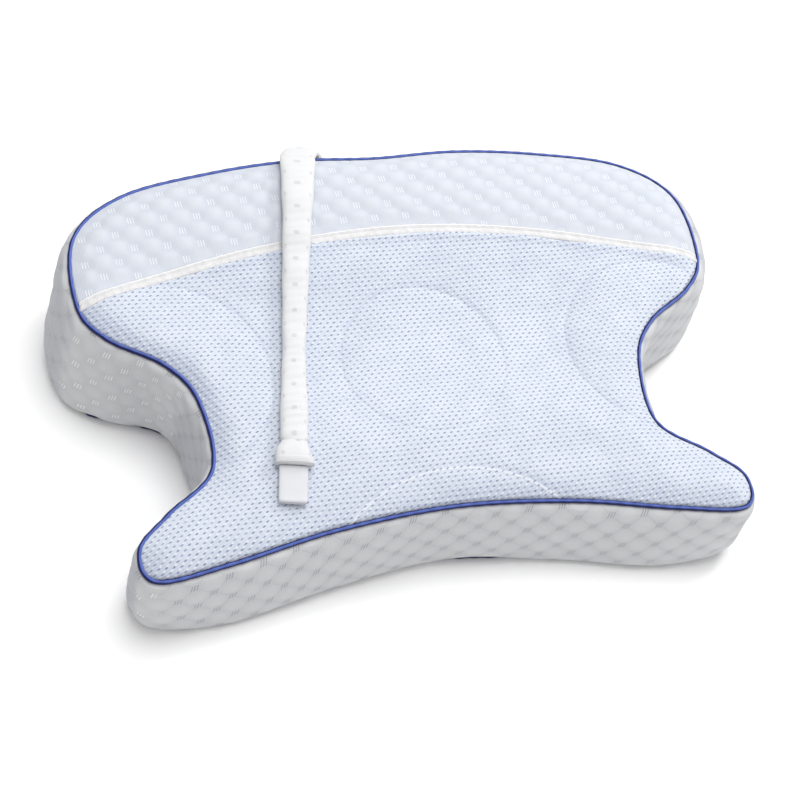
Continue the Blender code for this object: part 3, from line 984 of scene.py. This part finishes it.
def lyingHeight(inward, halfWidth):
    # highest cloth under a stretch of the strap
    heights = []
    for along in (-strap["rest"], 0.0, strap["rest"]):
        for share in (-1, -0.5, 0, 0.5, 1):
            plan = strapPlan(inward + along) + strapSide * share * halfWidth
            above = plan[:, 1] - seamY(plan[:, 0])
            cover = pillow["skin"] + seam["raise"] * (above > -2 * seam["half"])
            cover = cover + (quilt["puffHeight"] - seam["raise"]) * (above > seam["half"])
            height = topHeight(plan, edgeDistance(plan)) + cover
            heights.append(height - abs(share) * halfWidth * strap["sag"])
    return np.max(heights, axis=0)


def route(start, end, count, halfWidth, thick):
    inward = np.linspace(start, end, count + 1)
    return np.column_stack([inward, lyingHeight(inward, halfWidth) + strap["gap"] + thick / 2])


def strapRoute():
    behind = int(np.argmin(np.linalg.norm(fineRing - np.array(strap["back"]), axis=1)))
    levels = np.array(strap["climb"])
    points, outward = wallPoint(np.full(len(levels), fineKnots[behind]), levels, 0.0)
    foot = ringAt(fineKnots[behind])[0][0]
    stand = np.linalg.norm(points[:, :2] - foot, axis=1)
    stand = stand + pillow["skin"] + 2 * strap["gap"] + strap["thick"] / 2
    climb = np.column_stack([-stand, points[:, 2]])
    count = round((strap["reach"] - strap["landing"]) / strap["spacing"])
    lying = route(strap["landing"], strap["reach"], count, strap["width"] / 2, strap["thick"])
    return np.concatenate([climb, np.array(strap["arch"]), lying])


def tube(line, shape, u, v):
    # points of a tube round a line of (inward, height): shape(u, turn) gives (across, up)
    steps = np.concatenate([[0], np.cumsum(np.linalg.norm(np.diff(line, axis=0), axis=1))])
    inwards = np.column_stack([steps, line[:, 0]])
    heights = np.column_stack([steps, line[:, 1]])
    at = u * steps[-1]
    ahead = 0.0015
    rise = through(heights, at + ahead) - through(heights, at - ahead)
    run = through(inwards, at + ahead) - through(inwards, at - ahead)
    tilt = np.arctan2(rise, run)
    across, up = shape(u, 2 * math.pi * v)
    points = np.column_stack([strapPlan(through(inwards, at)), through(heights, at)])
    points[:, :2] += strapSide * across[:, None]
    points[:, :2] -= strapWay * (np.sin(tilt) * up)[:, None]
    points[:, 2] += np.cos(tilt) * up
    return points


def rounded(turn, power, width, thick):
    across = np.sign(np.cos(turn)) * np.abs(np.cos(turn)) ** power * width / 2
    up = np.sign(np.sin(turn)) * np.abs(np.sin(turn)) ** power * thick / 2
    return across, up


def closeEnds(obj):
    # fills the two open ends of a tube
    bm = bmesh.new()
    bm.from_mesh(obj.data)
    bmesh.ops.holes_fill(bm, edges=[edge for edge in bm.edges if edge.is_boundary], sides=0)
    bmesh.ops.recalc_face_normals(bm, faces=bm.faces)
    bm.to_mesh(obj.data)
    bm.free()
    obj.data.shade_smooth()
    return obj


sleeve = {
    "along": 190,
    "around": 32,
    "power": 0.72,
    # width of the sleeve against its length from the sewn end
    "widths": (
        (0.000, 0.0230), (0.030, 0.0265), (0.065, 0.0278), (0.095, 0.0264), (0.135, 0.0226),
        (0.190, 0.0200), (0.245, 0.0175), (0.275, 0.0185), (0.300, 0.0200),
    ),
    "foldAt": 0.066,                  # pressed thinner where it bends over the back
    "foldRun": 0.020,
    "foldThin": 0.38,
    "sewnEnd": 0.55,                  # how much its two ends are drawn in, over endRun
    "frontEnd": 0.25,
    "endRun": 0.012,
    "lowStart": 0.72,                 # from here on it creases more
    "lowRun": 0.20,
    "crease": (0.00022, 0.00045),     # height of the creases, and what is added lower down
}


def sleeveShape(u, turn):
    end = 1 - sleeve["sewnEnd"] * (1 - smooth(u / sleeve["endRun"]))
    end = end - sleeve["frontEnd"] * (1 - smooth((1 - u) / sleeve["endRun"]))
    wide = through(sleeve["widths"], u * strapLength)
    press = np.exp(-((u * strapLength - sleeve["foldAt"]) / sleeve["foldRun"]) ** 2)
    thick = strap["thick"] * (1 - sleeve["foldThin"] * press)
    across, up = rounded(turn, sleeve["power"], wide, thick)
    low = smooth((u - sleeve["lowStart"]) / sleeve["lowRun"])
    crease = sleeve["crease"][0] + sleeve["crease"][1] * low
    crease = crease * np.sin(u * 290 + 1.3 * np.sin(u * 41) + across * 160)
    soft = 0.0005 * np.sin(u * 33 + 2) + 0.0004 * np.sin(u * 71)
    top = np.clip(np.sin(turn), 0, 1)
    return across * end * (1 + 0.02 * np.sin(u * 57)), (up + (crease + soft) * top) * end


strapLine = strapRoute()
strapLength = float(np.linalg.norm(np.diff(strapLine, axis=0), axis=1).sum())
girth = 2 * (strap["width"] + strap["thick"])
sleevePiece = clothGrid(
    "tetherSleeve", sleeve["along"], sleeve["around"],
    lambda u, v: tube(strapLine, sleeveShape, u, v), (strapLength, girth), closed=(False, True),
)
closeEnds(sleevePiece)
fit(sleevePiece, sleeveCloth, "tether_strap")

cuff = {
    "along": 26,
    "around": 32,
    "start": 0.76,
    "leftFlare": 0.25,
    "rightFlare": 0.34,
    "hemThin": 0.12,
    "hemStart": 0.70,
    "power": 0.70,
    "girth": 0.070,
}


def cuffShape(u, turn):
    # it flares at once on the left and only near the hem on the right
    left = cuff["start"] + cuff["leftFlare"] * smooth(u / 0.45)
    right = cuff["start"] + cuff["rightFlare"] * smooth((u - 0.15) / 0.85)
    flare = np.where(np.cos(turn) < 0, left, right)
    hemmed = smooth((u - cuff["hemStart"]) / (1 - cuff["hemStart"])) ** 2
    full = 0.86 + 0.08 * smooth(u / 0.5) - cuff["hemThin"] * hemmed
    thick = strap["cuffThick"] * full
    across, up = rounded(turn, cuff["power"], strap["cuffWidth"], thick)
    hem = 0.00015 * np.cos(np.minimum(np.abs(u - 0.72) / 0.05, 1) * math.pi)
    fold = 0.0003 * np.sin(across * 900 + u * 6) * (1 - u)
    up = up + (fold - hem) * np.clip(np.sin(turn), 0, 1)
    return across * flare, up - (strap["cuffThick"] - thick) / 2


cuffStart = strap["reach"] + strap["gap"]
cuffLine = route(cuffStart, cuffStart + strap["cuffLength"], 4,
                 strap["cuffWidth"] / 2, strap["cuffThick"])
cuffPiece = clothGrid(
    "tetherCuff", cuff["along"], cuff["around"],
    lambda u, v: tube(cuffLine, cuffShape, u, v),
    (strap["cuffLength"], cuff["girth"]), closed=(False, True),
)
closeEnds(cuffPiece)
fit(cuffPiece, sleeveCloth, "strap_cuff")

tab = {
    "along": 40,
    "around": 32,
    "power": 0.45,
    "corner": 0.10,                   # its corners are rounded off this much
    "cornerStart": 0.90,
    "roll": 0.25,                     # its front end is rolled up thicker
    "rollAt": 0.93,
    "rollRun": 0.05,
    "girth": 0.045,
}


def tabShape(u, turn):
    across, up = rounded(turn, tab["power"], strap["tabWidth"], strap["tabThick"])
    last = smooth((u - tab["cornerStart"]) / (1 - tab["cornerStart"]))
    corner = 1 - tab["corner"] * last**2
    roll = 1 + tab["roll"] * np.exp(-((u - tab["rollAt"]) / tab["rollRun"]) ** 2)
    return across * corner, up * roll


tabStart = cuffStart + strap["cuffLength"] + strap["gap"] - strap["tabSeat"]
tabLine = route(tabStart, tabStart + strap["tabLength"], 6,
                strap["tabWidth"] / 2, strap["tabThick"])
tabPiece = clothGrid(
    "hookTab", tab["along"], tab["around"],
    lambda u, v: tube(tabLine, tabShape, u, v),
    (strap["tabLength"], tab["girth"]), closed=(False, True),
)
closeEnds(tabPiece)
fit(tabPiece, tabCloth, "hook_tab")
print("strap made")


# foam core
core = {
    "inside": 0.0030,
    "voxel": 0.006,
    "pressure": 4.0,
    "frames": 20,
    "mostMove": 0.0020,
    "cell": (0.80, 0.79, 0.74),
    "skin": (0.88, 0.87, 0.83),
}


def makeCore():
    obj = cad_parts["pillow_body"].copy()
    obj.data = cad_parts["pillow_body"].data.copy()
    obj.name = obj.data.name = "foamCore"
    for key in list(obj.keys()):
        del obj[key]
    obj.parent = None
    bpy.context.scene.collection.objects.link(obj)
    bm = bmesh.new()
    bm.from_mesh(obj.data)
    bmesh.ops.remove_doubles(bm, verts=bm.verts, dist=mergeDistance)
    bmesh.ops.recalc_face_normals(bm, faces=bm.faces)
    for vert in bm.verts:
        vert.co -= vert.normal * core["inside"]
    bm.to_mesh(obj.data)
    bm.free()
    obj.data.materials.clear()
    obj.data.remesh_voxel_size = core["voxel"]
    bpy.context.view_layer.objects.active = obj
    obj.select_set(True)
    bpy.ops.object.voxel_remesh()
    inflate(obj)
    obj.data.shade_smooth()
    return obj


def inflate(obj):
    # the foam presses outwards against its case, by a capped amount
    before = np.empty(len(obj.data.vertices) * 3)
    obj.data.vertices.foreach_get("co", before)
    cloth = obj.modifiers.new("pressure", "CLOTH")
    cloth.settings.use_pressure = True
    cloth.settings.uniform_pressure_force = core["pressure"]
    cloth.settings.effector_weights.gravity = 0
    cloth.point_cache.frame_start = 1
    cloth.point_cache.frame_end = core["frames"]
    scene = bpy.context.scene
    for number in range(1, core["frames"] + 1):
        scene.frame_set(number)
    graph = bpy.context.evaluated_depsgraph_get()
    after = np.empty(len(before))
    obj.evaluated_get(graph).data.vertices.foreach_get("co", after)
    move = (after - before).reshape(-1, 3)
    size = np.linalg.norm(move, axis=1)
    move = move * np.minimum(1, core["mostMove"] / np.maximum(size, 1e-9))[:, None]
    obj.modifiers.remove(cloth)
    obj.data.vertices.foreach_set("co", before + move.ravel())
    obj.data.update()
    scene.frame_set(1)


foam = makeCore()
foamFinish = Finish("foamWhite", 0.9)
foamFinish.coordinates("Object")
cells = foamFinish.cloud(900.0, 2.0)
foamFinish.colour(foamFinish.mix(cells, core["cell"], core["skin"]))
foamFinish.bump(cells, 0.0004, 0.5)
fit(foam, foamFinish.material, "pillow_body")
print("foam core made")


# camera, floor and light
shot = {
    "azimuth": math.radians(-25.600),
    "elevation": math.radians(53.178),
    "distance": 1.1944,
    "target": (-0.0120, -0.0312, 0.0475),
    "roll": math.radians(15.192),
    "lens": 70.0,
    "sensor": 36.0,
}
back = Vector((
    math.sin(shot["azimuth"]) * math.cos(shot["elevation"]),
    -math.cos(shot["azimuth"]) * math.cos(shot["elevation"]),
    math.sin(shot["elevation"]),
))
right = (-back).cross(Vector((0, 0, 1))).normalized()
up = right.cross(-back)
turned = right * math.cos(shot["roll"]) + up * math.sin(shot["roll"])
upright = up * math.cos(shot["roll"]) - right * math.sin(shot["roll"])
camera = bpy.data.objects.new("camera", bpy.data.cameras.new("camera"))
camera.data.lens = shot["lens"]
camera.data.sensor_width = shot["sensor"]
cameraPlace = Matrix((turned, upright, back)).transposed().to_4x4()
cameraPlace.translation = Vector(shot["target"]) + back * shot["distance"]
camera.matrix_world = cameraPlace
bpy.context.scene.collection.objects.link(camera)
bpy.context.scene.camera = camera

studio = {
    "floor": 6.0,
    "floorColour": (0.97, 0.97, 0.97),
    "world": 0.56,
    "lights": (                       # name, place, width across, power
        ("topLight", (0.12, 0.20, 2.3), 1.3, 33.0),
        ("keyLight", (1.3, 0.7, 1.4), 0.7, 14.0),
        ("fillLight", (0.3, -2.2, 1.1), 1.6, 4.0),
    ),
}
bm = bmesh.new()
bmesh.ops.create_grid(bm, x_segments=2, y_segments=2, size=studio["floor"])
floor = meshObject("floor", bm)
floorFinish = Finish("paleFloor", 0.85)
floorFinish.coordinates("Object")
grain = floorFinish.cloud(3.0)
pale = studio["floorColour"]
floorFinish.colour(floorFinish.mix(grain, pale, tuple(min(tone + 0.01, 1.0) for tone in pale)))
floor.data.materials.append(floorFinish.material)

world = bpy.data.worlds.new("softStudio")
world.use_nodes = True
world.node_tree.nodes["Background"].inputs["Color"].default_value = (1.0, 1.0, 1.0, 1.0)
world.node_tree.nodes["Background"].inputs["Strength"].default_value = studio["world"]
bpy.context.scene.world = world
bpy.context.scene.view_settings.view_transform = "Standard"

for name, position, size, power in studio["lights"]:
    lamp = bpy.data.lights.new(name, "AREA")
    lamp.shape = "DISK"
    lamp.size = size
    lamp.energy = power
    light = bpy.data.objects.new(name, lamp)
    light.location = position
    light.rotation_euler = (-Vector(position)).to_track_quat("-Z", "Y").to_euler()
    bpy.context.scene.collection.objects.link(light)
print("camera, floor and light set")
